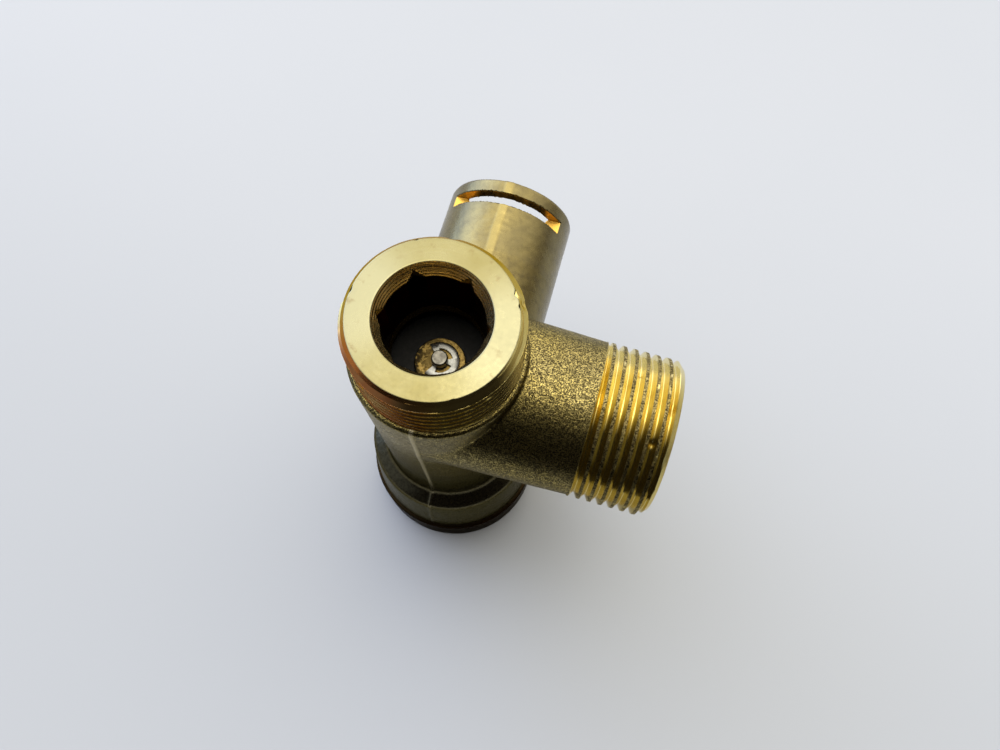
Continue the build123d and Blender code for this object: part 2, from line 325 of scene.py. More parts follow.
hb = 0.42
P, F, N = surface_net(lambda x, y, z: -inner_body(x, y, z), (-12.0, -12.0, 19.4), (26.0, 31.0, 79.4), hb)
keep = part_of(P, F, N, lambda c: (c[:, 0] < 25.9) & (c[:, 2] < 77.0) & (c[:, 2] > 22.3) & (c[:, 1] < 30.2))
bores = make_mesh("body_bores", keep[0], keep[1].tolist(), keep[2])

# ---------------------------------------------------------------- base ring
COLS = 288
turn = np.arange(COLS) * 2 * pi / COLS


def lathe(name, profile, wobble=0.0, sharp=28):
    rows = []
    for k, (r, z) in enumerate(profile):
        w = wobble * (np.sin(3 * turn + 0.7 * k) + 0.6 * np.sin(7 * turn + 1.9 * k))
        rr = r + w
        rows.append(np.c_[rr * np.cos(turn), rr * np.sin(turn), np.full(COLS, z)])
    return make_mesh(name, np.concatenate(rows), grid_faces(len(profile), COLS), sharp=sharp)


def dense(points, step):
    out = [points[0]]
    for a, b in zip(points, points[1:]):
        k = max(1, int(round(sqrt((a[0] - b[0]) ** 2 + (a[1] - b[1]) ** 2) / step)))
        out += [(a[0] + (b[0] - a[0]) * i / k, a[1] + (b[1] - a[1]) * i / k) for i in range(1, k + 1)]
    return out


ring_profile = dense([(11.8, 22.0), (15.0, 22.0), (15.0, 18.95), (15.75, 18.95), (15.75, 17.65), (15.0, 17.65), (15.0, 1.0), (15.9, 0.12),
                      (16.05, 0.0), (18.12, 0.0), (18.32, 0.1), (18.4, 0.3), (18.4, 10.5), (18.32, 10.7), (18.0, 10.95), (17.4, 11.12)], 0.9)
base_ring = lathe("body_base_ring", ring_profile, sharp=28)


# ---------------------------------------------------------------- threads
GROOVE = 0.65 * PITCH
STEPS = [0.0, 0.07, 0.13, 0.14, 0.152, 0.23, 0.31, 0.38, 0.43, 0.465, 0.50, 0.535, 0.57, 0.62, 0.69, 0.77, 0.848, 0.86, 0.87, 0.93]
DEPTH = 0.93


def groove_depth(u):
    """How deep the V groove is at u pitches from the middle of a crest."""
    d = np.abs((u + 0.5) % 1.0 - 0.5)           # 0 on the crest, 0.5 in the root
    t = np.clip((d - 0.14) / (0.465 - 0.14), 0, 1)
    return DEPTH * (t - 0.04 * smooth(0.9, 1.0, t))


def port(name, z0, z1, crest0, ang0, face_z, lead_r, runout, dent=None):
    """Threaded grid on +Z: rows follow the helix, z rises with the angle.
    crest0 is the height of one crest at the angle ang0 (degrees)."""
    cols = 400
    th = np.arange(cols) * 2 * pi / cols
    rise = PITCH * th / (2 * pi)
    k0 = int(np.floor((z0 - PITCH - crest0) / PITCH)) - 1
    k1 = int(np.ceil((z1 - crest0) / PITCH)) + 1
    w = np.array([crest0 + PITCH * (k + s) for k in range(k0, k1) for s in STEPS])
    Z = w[:, None] + rise[None, :]
    U = (w[:, None] - crest0) / PITCH + 0 * rise[None, :]
    A = th[None, :] + radians(ang0) + 0 * w[:, None]
    Zc = np.clip(Z, z0, z1)
    fade = smooth(*runout, Zc)
    rough = 0.018 * ripple(np.cos(A) * 26, np.sin(A) * 26, Zc * 2.0, 0, 8)
    crest_soft = smooth(0.15, 0.08, np.abs((U + 0.5) % 1.0 - 0.5))
    R = THREAD_R - groove_depth(U) * fade - rough * crest_soft - 0.012
    lead = FACE_R + (z1 - Zc) * (THREAD_R - FACE_R) / lead_r
    R = np.minimum(R, lead + 0.008 * ripple(np.cos(A) * 20, np.sin(A) * 20, Zc, 3, 10))
    if dent is not None:
        R = R - dent(np.degrees(A), Zc)
    R = np.where(Z >= z1, FACE_R, R)
    R = np.where(Z <= z0, THREAD_R - 0.02, R)
    V = np.stack([R * np.cos(A), R * np.sin(A), Zc], -1).reshape(-1, 3)
    zr = Z.reshape(-1)
    faces = []
    for f in grid_faces(len(w), cols, len(STEPS)):
        q = zr[list(f)]
        if q.max() <= z0 or q.min() >= z1:
            continue
        faces.append(f)
    used = np.unique(np.array(faces))
    new = np.full(len(V), -1, np.int64)
    new[used] = np.arange(len(used))
    return V[used], new[np.array(faces)]


def nicks(list_of):
    """Small dents: (angle, height, half angle, half height, depth)."""
    def at(a, z):
        d = 0.0
        for a0, z0, wa, wz, depth in list_of:
            da = (a - a0 + 180.0) % 360.0 - 180.0
            d = d + depth * np.exp(-(da / wa) ** 2 - ((z - z0) / wz) ** 2)
        return d
    return at


TOP_NICKS = nicks([(32, 89.9, 2.2, 0.5, 0.35), (27, 88.9, 3.0, 0.5, 0.3), (178, 88.2, 4.0, 0.5, 0.4), (186, 86.4, 3.0, 0.35, 0.3),
                   (170, 87.2, 2.5, 0.4, 0.3), (201, 88.6, 2.0, 0.35, 0.25), (-122, 86.4, 2.5, 0.3, 0.2), (-38, 87.0, 2.0, 0.3, 0.2),
                   (95, 88.9, 3.0, 0.4, 0.25), (140, 86.9, 2.5, 0.35, 0.22)])
V, Fq = port("top", 77.9, H_TOTAL - 0.06, 86.4, -69.0, H_TOTAL, 1.5, (78.1, 79.3), TOP_NICKS)
top_thread = make_mesh("body_top_thread", V, Fq.tolist(), sharp=26)

SIDE_NICKS = nicks([(62, 30.9, 2.0, 0.3, 0.2), (112, 34.7, 2.4, 0.3, 0.22), (84, 36.6, 3.0, 0.35, 0.2), (-28, 33.0, 3.0, 0.4, 0.2)])
V, Fq = port("side", SIDE_X0 - 0.05, SIDE_X1 - 0.05, 28.3, 90.0, SIDE_X1, 1.1, (SIDE_X0 - 0.02, SIDE_X0 + 0.45), SIDE_NICKS)
V = np.c_[V[:, 2], V[:, 0], V[:, 1] + SIDE_Z]       # turn the axis from +Z to +X
side_thread = make_mesh("body_side_thread", V, Fq.tolist(), sharp=26)


# ---------------------------------------------------------------- top face, mouth and hexagon
def hex_radius(a, turn0=7.0, af=14.0):
    d = (np.degrees(a) - turn0) % 60.0 - 30.0
    return af / 2 / np.cos(np.radians(d))


face_cols = 480
fa = np.arange(face_cols) * 2 * pi / face_cols + radians(7.0)
edge_dent = nicks([(33, 90.0, 2.4, 1.0, 0.35), (24, 90.0, 1.6, 1.0, 0.2), (176, 90.0, 2.5, 1.0, 0.18), (118, 90.0, 1.5, 1.0, 0.12), (-60, 90.0, 1.8, 1.0, 0.1)])
rows = []
for r, z in ([(FACE_R, 89.94), (12.1, 89.975), (12.04, 89.995), (11.96, 90.0)] + [(11.96 - 0.29 * k, 90.0) for k in range(1, 12)]
             + [(8.62, 90.0), (8.53, 89.97), (8.47, 89.9)]):
    rr = r - edge_dent(np.degrees(fa), 90.0) * max(0.0, (r - 11.4) / 0.72)
    lift = 0.004 * np.sin(fa * 5 + r) - 0.05 * edge_dent(np.degrees(fa), 90.0) * (r > 11.5)
    rows.append(np.c_[rr * np.cos(fa), rr * np.sin(fa), np.minimum(z + lift - 0.004, 90.0)])
face_ring = make_mesh("body_top_face", np.concatenate(rows), grid_faces(len(rows), face_cols), sharp=30)

rows = []
heights = list(np.arange(89.9, 87.35, -0.085)) + list(np.arange(87.2, 78.01, -0.4)) + [78.0]
for z in heights:
    ring = 0.045 * sin((90 - z) * 2 * pi / 0.5) if z > 87.3 else 0.0
    cone = 7.4 + max(0.0, z - 87.4) * (8.48 - 7.4) / 2.6 + ring
    hexa = hex_radius(fa) if z < 89.2 else hex_radius(fa) - (z - 89.2) * 0.6
    # the broach leaves a soft blend where it starts
    rr = np.maximum(cone, np.minimum(hexa, 8.083))
    rows.append(np.c_[rr * np.cos(fa), rr * np.sin(fa), np.full(face_cols, z)])
for r, z in ((7.4, 78.0), (7.4, 77.0), (7.4, 75.0), (7.42, 74.85), (7.5, 74.8), (8.1, 74.8), (8.45, 75.5), (8.8, 76.2), (9.8, 76.2), (9.8, 75.0), (9.8, 73.0)):
    rows.append(np.c_[r * np.cos(fa), r * np.sin(fa), np.full(face_cols, z)])
bore_mouth = make_mesh("body_top_bore", np.concatenate(rows), grid_faces(len(rows), face_cols), sharp=24)

# side port end: face, mouth cone, bore
rows = []
for r, x in ([(FACE_R, 37.95), (12.05, 37.99), (11.9, 38.0)] + [(11.9 - 0.3 * k, 38.0) for k in range(1, 8)] + [(9.66, 38.0), (9.25, 37.97)]
             + [(9.25 - 0.25 * k, 37.72 - 0.25 * k) for k in range(0, 2)] + [(9.0, 37.3), (9.0, 36.0), (9.0, 32.0), (9.0, 28.0), (9.0, 25.8)]):
    rows.append(np.c_[np.full(face_cols, x), r * np.cos(fa), SIDE_Z + r * np.sin(fa)])
side_face = make_mesh("body_side_face", np.concatenate(rows), grid_faces(len(rows), face_cols), sharp=26)


# clip on the stem's top: a wide mouth, three prongs in the groove, rounded upper edges
def clip_piece(name, turn_deg, r_out=3.15, groove=1.04, z0=71.75, z1=72.35):
    a = np.radians(np.linspace(50, 310, 105))
    deg = np.degrees(a)
    prong = sum(smooth(w + 3.0, w, np.abs(deg - c)) for c, w in ((61, 13), (180, 15), (299, 13)))
    r_in = 2.02 - (2.02 - groove) * np.clip(prong, 0, 1)
    aa = a + radians(turn_deg)
    ring_rows = []
    for kind, off, z in (("i", 0.0, z0), ("i", 0.0, z1 - 0.05), ("i", 0.05, z1), ("m", 0.0, z1 + 0.0), ("o", -0.12, z1), ("o", -0.03, z1 - 0.05), ("o", 0.0, z1 - 0.14), ("o", 0.0, z0 + 0.05), ("o", -0.05, z0)):
        r = r_in + off if kind == "i" else (r_out + off if kind == "o" else 0.5 * (r_in + r_out))
        r = r * np.ones_like(a)
        ring_rows.append(np.c_[r * np.cos(aa), r * np.sin(aa), np.full(len(a), z)])
    n, m = len(ring_rows), len(a)
    verts = np.concatenate(ring_rows)
    faces = [(j * m + i, j * m + i + 1, ((j + 1) % n) * m + i + 1, ((j + 1) % n) * m + i) for j in range(n) for i in range(m - 1)]
    faces.append(tuple(j * m for j in range(n)))
    faces.append(tuple(j * m + m - 1 for j in reversed(range(n))))
    return make_mesh(name, verts, [tuple(reversed(f)) for f in faces], sharp=32)


top_clip = clip_piece("stem_top_clip", 187.0)


# return spring: the end coils are closed and ground
CAP_TOP, SPRING_TOP, WIRE_R, SPRING_R = 8.0, 19.55, 0.45, 5.75
turn = np.linspace(0, 2 * pi * 6.6, 6 * 84)
t = turn / turn[-1]
dead = 1.05 / 6.6
rise = np.interp(t, [0, dead, 1 - dead, 1], [0, 0.09, 0.91, 1])
zc = CAP_TOP + 0.02 + WIRE_R + rise * (SPRING_TOP - CAP_TOP - 0.02 - 2 * WIRE_R)
tan = np.c_[-SPRING_R * np.sin(turn), SPRING_R * np.cos(turn), np.gradient(zc, turn)]
tan /= np.linalg.norm(tan, axis=1)[:, None]
out = np.c_[np.cos(turn), np.sin(turn), 0 * turn]
up = np.cross(out, tan)
w = np.linspace(0, 2 * pi, 17)[:-1]
tube = (np.c_[SPRING_R * np.cos(turn), SPRING_R * np.sin(turn), zc][:, None, :] + WIRE_R * 0.97 * (np.cos(w)[None, :, None] * out[:, None, :] + np.sin(w)[None, :, None] * up[:, None, :]))
coil_faces = [tuple(reversed(f)) for f in grid_faces(len(turn), 16)]
coil_faces.append(tuple(range(16)))
coil_faces.append(tuple((len(turn) - 1) * 16 + i for i in reversed(range(16))))
coil = make_mesh("return_spring_coil", tube.reshape(-1, 3), coil_faces, sharp=50)


# ---------------------------------------------------------------- materials
class Mat:
    """A small helper that builds one node material."""

    def __init__(self, name):
        self.m = bpy.data.materials.new(name)
        self.m.use_nodes = True
        self.t = self.m.node_tree
        self.t.nodes.clear()
        self.out = self.n("ShaderNodeOutputMaterial")
        self.bsdf = self.n("ShaderNodeBsdfPrincipled")
        self.t.links.new(self.bsdf.outputs[0], self.out.inputs[0])
        self.coord = self.n("ShaderNodeTexCoord").outputs["Object"]

    def n(self, kind, **props):
        node = self.t.nodes.new(kind)
        for k, v in props.items():
            setattr(node, k, v)
        return node

    def link(self, a, b):
        self.t.links.new(a, b)

    def math(self, op, a, b=None, c=None, clamp=False):
        node = self.n("ShaderNodeMath", operation=op, use_clamp=clamp)
        for i, v in enumerate((a, b, c)):
            if v is None:
                continue
            if isinstance(v, (int, float)):
                node.inputs[i].default_value = v
            else:
                self.link(v, node.inputs[i])
        return node.outputs[0]

    def noise(self, scale, detail=3.0, rough=0.55, vec=None, distortion=0.0, dims="3D"):
        node = self.n("ShaderNodeTexNoise", noise_dimensions=dims)
        node.inputs["Scale"].default_value = scale
        node.inputs["Detail"].default_value = detail
        node.inputs["Roughness"].default_value = rough
        node.inputs["Distortion"].default_value = distortion
        self.link(vec if vec is not None else self.coord, node.inputs["Vector"])
        return node.outputs["Fac"]

    def voronoi(self, scale, vec=None, feature="F1", rand=1.0):
        node = self.n("ShaderNodeTexVoronoi", feature=feature)
        node.inputs["Scale"].default_value = scale
        node.inputs["Randomness"].default_value = rand
        self.link(vec if vec is not None else self.coord, node.inputs["Vector"])
        return node.outputs["Distance"]

    def ramp(self, fac, stops, mode="LINEAR"):
        node = self.n("ShaderNodeValToRGB")
        node.color_ramp.interpolation = mode
        el = node.color_ramp.elements
        while len(el) > 1:
            el.remove(el[-1])
        el[0].position = stops[0][0]
        el[0].color = (*stops[0][1], 1.0)
        for p, c in stops[1:]:
            e = el.new(p)
            e.color = (*c, 1.0)
        self.link(fac, node.inputs[0])
        return node.outputs["Color"]

    def span(self, fac, a, b, c, d, kind="LINEAR"):
        node = self.n("ShaderNodeMapRange", interpolation_type=kind)
        for i, v in zip(("From Min", "From Max", "To Min", "To Max"), (a, b, c, d)):
            node.inputs[i].default_value = v
        self.link(fac, node.inputs["Value"])
        return node.outputs["Result"]

    def mix(self, fac, a, b, blend="MIX"):
        node = self.n("ShaderNodeMix", data_type="RGBA", blend_type=blend)
        if isinstance(fac, (int, float)):
            node.inputs[0].default_value = fac
        else:
            self.link(fac, node.inputs[0])
        for i, v in ((6, a), (7, b)):
            if isinstance(v, tuple):
                node.inputs[i].default_value = (*v, 1.0)
            else:
                self.link(v, node.inputs[i])
        return node.outputs[2]

    def xyz(self, vec=None):
        node = self.n("ShaderNodeSeparateXYZ")
        self.link(vec if vec is not None else self.coord, node.inputs[0])
        return node.outputs

    def combine(self, a, b, c):
        node = self.n("ShaderNodeCombineXYZ")
        for i, v in enumerate((a, b, c)):
            if isinstance(v, (int, float)):
                node.inputs[i].default_value = v
            else:
                self.link(v, node.inputs[i])
        return node.outputs[0]

    def radius(self, axis="Z", centre_z=0.0):
        s = self.xyz()
        if axis == "Z":
            a, b = s[0], s[1]
        elif axis == "X":
            a, b = s[1], self.math("SUBTRACT", s[2], centre_z)
        else:
            a, b = s[0], self.math("SUBTRACT", s[2], centre_z)
        r = self.math("SQRT", self.math("ADD", self.math("MULTIPLY", a, a), self.math("MULTIPLY", b, b)))
        along = {"Z": s[2], "X": s[0], "Y": s[1]}[axis]
        return r, along, self.math("ARCTAN2", b, a)

    def bump(self, height, strength, distance_mm, after=None):
        node = self.n("ShaderNodeBump")
        node.inputs["Strength"].default_value = strength
        node.inputs["Distance"].default_value = distance_mm * MM
        self.link(height, node.inputs["Height"])
        if after is not None:
            self.link(after, node.inputs["Normal"])
        return node.outputs[0]

    def set(self, color=None, rough=None, metallic=1.0, normal=None, spec=None, **more):
        b = self.bsdf.inputs
        b["Metallic"].default_value = metallic
        for key, v in (("Base Color", color), ("Roughness", rough), ("Normal", normal)):
            if v is None:
                continue
            if isinstance(v, tuple):
                b[key].default_value = (*v, 1.0)
            elif isinstance(v, (int, float)):
                b[key].default_value = v
            else:
                self.link(v, b[key])
        if spec is not None:
            b["Specular IOR Level"].default_value = spec
        for key, v in more.items():
            b[key.replace("_", " ")].default_value = v
        return self.m


def cast_brass(name="cast_brass_blasted"):
    """Sand-blasted casting: fine bright grain over dark pits, smoother towards the foot and on the socket, darker on
    the socket; the darker colour towards the foot is painted shade, and the dimmed reflection tint on the neck and
    foot is painted shade too.
    """
    m = Mat(name)
    grain = m.noise(4500, 2.0, 0.6)
    coarse = m.noise(1700, 3.0, 0.6)
    patch = m.noise(110, 4.0, 0.6)
    wide = m.noise(30, 3.0, 0.55)
    x, y, z = m.xyz()
    sway = m.math("MULTIPLY", m.math("SUBTRACT", patch, 0.5), 0.006)
    socket = m.span(m.math("ADD", y, sway), 0.0135, 0.0175, 0.0, 1.0)
    # mask for the painted shade: colour darker towards the foot
    foot = m.math("MULTIPLY", m.span(m.math("ADD", z, sway), 0.066, 0.044, 0.0, 1.0), m.span(socket, 0.0, 1.0, 1.0, 0.0))
    low_foot = m.math("MULTIPLY", m.span(m.math("ADD", z, sway), 0.050, 0.036, 0.0, 0.85), m.span(socket, 0.0, 1.0, 1.0, 0.0))
    calm = m.math("MAXIMUM", socket, low_foot)
    speck = m.math("MULTIPLY", m.span(grain, 0.44, 0.57, 0.0, 1.0), m.span(coarse, 0.36, 0.58, 0.30, 1.0))
    speck = m.math("MAXIMUM", speck, m.math("MULTIPLY", calm, 0.85))
    gold = m.mix(m.span(wide, 0.35, 0.65, 0.0, 1.0), (0.52, 0.405, 0.120), (0.45, 0.36, 0.120))
    tone = m.mix(m.span(patch, 0.42, 0.70, 0.0, 0.5), gold, (0.36, 0.31, 0.155))
    skin = m.mix(m.span(m.noise(620, 4.0, 0.62), 0.42, 0.68, 0.0, 0.7), (0.225, 0.180, 0.072), (0.130, 0.106, 0.053))
    tone = m.mix(socket, tone, skin)
    strip = m.span(m.math("ABSOLUTE", m.math("ADD", x, 0.00035)), 0.0011, 0.0006, 0.0, 0.6)
    tone = m.mix(m.math("MULTIPLY", strip, m.span(y, 0.021, 0.030, 0.0, 1.0)), tone, (0.330, 0.262, 0.098))
    # painted shade: the skin's colour turns darker towards the foot, where the lower body lies in shade
    tone = m.mix(foot, tone, m.mix(m.span(coarse, 0.40, 0.62, 0.0, 0.8), (0.140, 0.122, 0.070), (0.070, 0.061, 0.035)))
    seam = m.math("MULTIPLY", m.span(m.math("ABSOLUTE", m.math("SUBTRACT", x, 0.00015)), 0.00052, 0.00022, 0.0, 0.85), m.span(y, -0.002, -0.006, 0.0, 1.0))
    seam = m.math("MULTIPLY", seam, m.span(z, 0.030, 0.038, 0.18, 1.0))
    tone = m.mix(seam, tone, (0.62, 0.54, 0.34))
    col = m.mix(m.math("MAXIMUM", speck, seam), (0.050, 0.040, 0.018), tone)
    rough = m.span(m.math("ADD", speck, m.math("MULTIPLY", patch, 0.4)), 0.2, 1.3, 0.38, 0.24)
    soft = m.span(calm, 0.0, 1.0, 1.0, 0.3)
    n1 = m.bump(m.math("MULTIPLY", grain, soft), 0.85, 0.07)
    n2 = m.bump(m.math("MULTIPLY", coarse, soft), 0.50, 0.08, n1)
    n3 = m.bump(patch, 0.25, 0.20, n2)
    # painted shade: the reflection tint is dimmed on the neck below the side port, and more at the foot
    shade = m.math("MULTIPLY", m.span(m.math("ADD", z, sway), 0.047, 0.038, 0.0, 1.0), m.span(socket, 0.0, 1.0, 1.0, 0.0))
    neck_shade_tint = m.mix(m.span(z, 0.067, 0.057, 0.0, 1.0), (0.80, 0.76, 0.66), (0.46, 0.44, 0.38))
    edge = m.mix(socket, m.mix(shade, neck_shade_tint, (0.43, 0.42, 0.36)), (1.0, 1.0, 1.0))
    m.link(edge, m.bsdf.inputs["Specular Tint"])
    return m.set(col, rough, 1.0, n3)


def smooth_cast(name="cast_brass_smooth"):
    """The socket's skin: smoother, mottled in soft patches of a millimetre or two."""
    m = Mat(name)
    grain = m.noise(3000, 2.0, 0.6)
    mott = m.noise(620, 4.0, 0.62, distortion=0.4)
    patch = m.noise(170, 4.0, 0.6)
    wide = m.noise(45, 3.0, 0.55)
    tone = m.mix(m.span(wide, 0.36, 0.64, 0.0, 1.0), (0.225, 0.180, 0.072), (0.190, 0.157, 0.073))
    tone = m.mix(m.span(patch, 0.42, 0.66, 0.0, 0.55), tone, (0.150, 0.126, 0.066))
    tone = m.mix(m.span(mott, 0.45, 0.68, 0.0, 0.45), tone, (0.120, 0.098, 0.050))
    x = m.xyz()[0]
    strip = m.span(m.math("ABSOLUTE", m.math("ADD", x, 0.00035)), 0.0011, 0.0006, 0.0, 0.6)
    tone = m.mix(strip, tone, (0.330, 0.262, 0.098))
    r, along, ang = m.radius("Y", 0.0422)
    # clip slot's cut faces: bright fresh-cut brass, partly the real machined surface and partly a painted highlight
    cut = m.math("MULTIPLY", m.span(along, 0.03975, 0.03985, 0.0, 1.0), m.span(along, 0.04230, 0.04240, 1.0, 0.0))
    cut = m.math("MULTIPLY", cut, m.span(r, 0.01280, 0.01290, 1.0, 0.0))
    tone = m.mix(cut, tone, (0.82, 0.50, 0.10))
    rough = m.span(m.math("ADD", grain, patch), 0.7, 1.3, 0.22, 0.34)
    rough = m.math("MAXIMUM", rough, m.math("MULTIPLY", cut, 0.5))
    n1 = m.bump(grain, 0.22, 0.03)
    n2 = m.bump(mott, 0.30, 0.06, n1)
    n3 = m.bump(patch, 0.25, 0.22, n2)
    return m.set(tone, rough, 1.0, n3)


def turned_brass(name, axis="Z", centre=0.0, tone=(0.42, 0.34, 0.17), dark=(0.31, 0.235, 0.11), rings=9000.0, rough=(0.2, 0.34), strength=0.22, stain=None,
                 spots=0.4, deep=None, painted_sheen=None, grit=0.18, edge_tint=(1.0, 0.95, 0.85, 1.0)):
    """Machined brass: fine rings round the axis, light mottling and stains."""
    m = Mat(name)
    r, along, ang = m.radius(axis, centre)
    lane = m.combine(m.math("MULTIPLY", r, 1.0), m.math("MULTIPLY", along, 1.0), m.math("MULTIPLY", ang, 0.00035))
    ring = m.noise(rings, 2.0, 0.65, lane)
    fine = m.noise(1600, 3.0, 0.6)
    patch = m.noise(160, 4.0, 0.6)
    col = m.mix(m.span(patch, 0.38, 0.66, 0.0, 1.0), tone, dark)
    col = m.mix(m.span(ring, 0.35, 0.7, 0.0, 0.35), col, dark)
    col = m.mix(m.span(m.noise(420, 4.0, 0.62), 0.60, 0.72, 0.0, spots), col, (0.12, 0.08, 0.035))
    if painted_sheen is not None:                        # painted sheen: the colour turns paler on two opposite sides, where the lay of the turning would catch the light
        c = m.math("COSINE", ang)
        col = m.mix(m.span(m.math("MULTIPLY", c, c), 0.15, 0.9, 0.0, 1.0, "SMOOTHSTEP"), col, painted_sheen)
    if deep is not None:                       # painted shade: near-black colour below a height, where the bore lies in shade
        col = m.mix(m.span(along, deep[0], deep[1], 1.0, 0.0), col, deep[2])
    if stain is not None:
        col = m.mix(stain(m, r, along, ang), col, (0.13, 0.075, 0.03))
    ro = m.span(m.math("ADD", m.math("MULTIPLY", fine, 0.5), m.math("MULTIPLY", patch, 0.5)), 0.35, 0.65, rough[0], rough[1])
    n = m.bump(ring, strength, 0.02)
    n = m.bump(fine, grit, 0.03, n)
    return m.set(col, ro, 1.0, n, Specular_Tint=edge_tint)


def thread_brass(name, axis="Z", centre=0.0, stain=False, edge_tint=(1.0, 0.93, 0.72, 1.0)):
    """Smooth streaked flanks and root; crests keep the blasted cast skin."""
    m = Mat(name)
    r, along, ang = m.radius(axis, centre)
    lane = m.combine(m.math("MULTIPLY", r, 1.0), m.math("MULTIPLY", along, 1.0), m.math("MULTIPLY", ang, 0.0007))
    streak = m.noise(7000, 3.0, 0.65, lane)
    grain = m.noise(3900, 2.0, 0.6)
    coarse = m.noise(1500, 3.0, 0.6)
    patch = m.noise(150, 4.0, 0.6)
    edge = m.math("ADD", r, m.math("MULTIPLY", m.math("SUBTRACT", coarse, 0.5), 0.00010))
    crest = m.span(edge, 0.01317, 0.01320, 0.0, 1.0)
    flank = m.mix(m.span(patch, 0.36, 0.66, 0.0, 1.0), (0.66, 0.55, 0.205), (0.57, 0.455, 0.14))
    flank = m.mix(m.span(streak, 0.42, 0.72, 0.0, 0.45), flank, (0.40, 0.255, 0.06))
    speck = m.math("MULTIPLY", m.span(grain, 0.40, 0.60, 0.0, 1.0), m.span(coarse, 0.34, 0.6, 0.3, 1.0))
    top = m.mix(speck, (0.022, 0.017, 0.008), (0.36, 0.285, 0.115))
    if axis == "X":                            # painted light: the flanks turn paler on the back half
        flank = m.mix(m.span(m.math("COSINE", ang), 0.25, 0.75, 0.0, 0.8, "SMOOTHSTEP"), flank, (0.86, 0.80, 0.52))
    if stain:
        red = m.math("MULTIPLY", m.span(m.math("COSINE", m.math("SUBTRACT", ang, radians(-122.0))), 0.60, 0.93, 0.0, 0.9), m.span(patch, 0.30, 0.58, 0.5, 1.0))
        flank = m.mix(red, flank, (0.50, 0.15, 0.045))
        top = m.mix(red, top, (0.20, 0.07, 0.028))
    col = m.mix(crest, flank, top)
    ro = m.math("ADD", m.span(crest, 0.0, 1.0, 0.17, 0.42), m.span(patch, 0.3, 0.7, -0.03, 0.07))
    n = m.bump(streak, 0.25, 0.015)
    hgt = m.math("MULTIPLY", m.math("ADD", grain, m.math("MULTIPLY", coarse, 0.8)), crest)
    n = m.bump(hgt, 0.8, 0.08, n)
    return m.set(col, ro, 1.0, n, Specular_Tint=edge_tint)


def steel(name, tone=(0.60, 0.60, 0.59), rough=(0.22, 0.34), rings=5000.0, worn=0.0):
    m = Mat(name)
    r, along, ang = m.radius("Z")
    lane = m.combine(r, along, m.math("MULTIPLY", ang, 0.0004))
    ring = m.noise(rings, 2.0, 0.6, lane)
    mott = m.noise(1500, 4.0, 0.62)
    col = m.mix(m.span(mott, 0.36, 0.66, 0.0, 0.35 + worn), tone, tuple(c * 0.42 for c in tone))
    ro = m.span(mott, 0.3, 0.7, rough[0], rough[1])
    n = m.bump(ring, 0.15, 0.012)
    n = m.bump(mott, 0.2 + 0.5 * worn, 0.03, n)
    return m.set(col, ro, 1.0, n)


def rubber(name="black_rubber"):
    m = Mat(name)
    fine = m.noise(2500, 3.0, 0.6)
    dust = m.span(m.noise(300, 5.0, 0.65), 0.52, 0.72, 0.0, 0.5)
    col = m.mix(dust, (0.006, 0.006, 0.0065), (0.020, 0.019, 0.017))
    ro = m.span(fine, 0.3, 0.7, 0.55, 0.75)
    return m.set(col, ro, 0.0, m.bump(fine, 0.25, 0.03), spec=0.4)


def hub_brass(name="hub_brass"):
    m = Mat(name)
    grain = m.noise(2200, 4.0, 0.65)
    blot = m.noise(850, 4.0, 0.6)
    col = m.mix(m.span(grain, 0.36, 0.64, 0.0, 1.0), (0.16, 0.10, 0.03), (0.62, 0.44, 0.14))
    x = m.xyz()[0]
    left = m.math("MULTIPLY", m.span(x, 0.001, -0.0035, 0.0, 1.0), m.span(blot, 0.40, 0.50, 0.0, 0.95))
    col = m.mix(left, col, (0.012, 0.010, 0.007))
    ro = m.span(grain, 0.3, 0.7, 0.38, 0.6)
    return m.set(col, ro, 1.0, m.bump(grain, 0.6, 0.06))


CAST = cast_brass()


def top_stain(m, r, along, ang):
    """A few small tea-coloured spots, more of them towards the outer edge."""
    return m.math("MULTIPLY", m.span(m.noise(620, 4.0, 0.6), 0.60, 0.72, 0.0, 1.0), m.span(r, 0.0088, 0.0118, 0.12, 0.40))


# painted sheen: the face's colour is paler on two opposite sides
FACE = turned_brass("turned_face", rings=3200.0, tone=(0.245, 0.222, 0.115), dark=(0.215, 0.188, 0.082), rough=(0.24, 0.36), strength=0.16, stain=top_stain, spots=0.26, painted_sheen=(0.285, 0.270, 0.165))
# painted shade: near black below 87.2 mm and a dimmed reflection tint; the mouth's light tone is partly machined brass
# and partly painted light bounced inside the mouth
BORE = turned_brass("turned_bore", rings=1900.0, tone=(0.66, 0.50, 0.21), dark=(0.42, 0.28, 0.10), rough=(0.2, 0.32), strength=0.8, grit=0.05, deep=(0.0872, 0.0876, (0.006, 0.005, 0.0035)), edge_tint=(0.50, 0.37, 0.18, 1.0))
# painted shade: the base ring's colour and reflection tint are near black, for the shade at the floor contact
RING = turned_brass("turned_ring", rings=2300.0, tone=(0.075, 0.048, 0.020), dark=(0.045, 0.030, 0.013), rough=(0.24, 0.36), strength=0.3, edge_tint=(0.12, 0.09, 0.05, 1.0))
SMOOTH = smooth_cast()
SIDE = turned_brass("turned_side", axis="X", centre=SIDE_Z * MM, rings=2600.0)
T_TOP = thread_brass("thread_top", "Z", 0.0, True, (0.60, 0.42, 0.20, 1.0))
T_SIDE = thread_brass("thread_side", "X", SIDE_Z * MM)
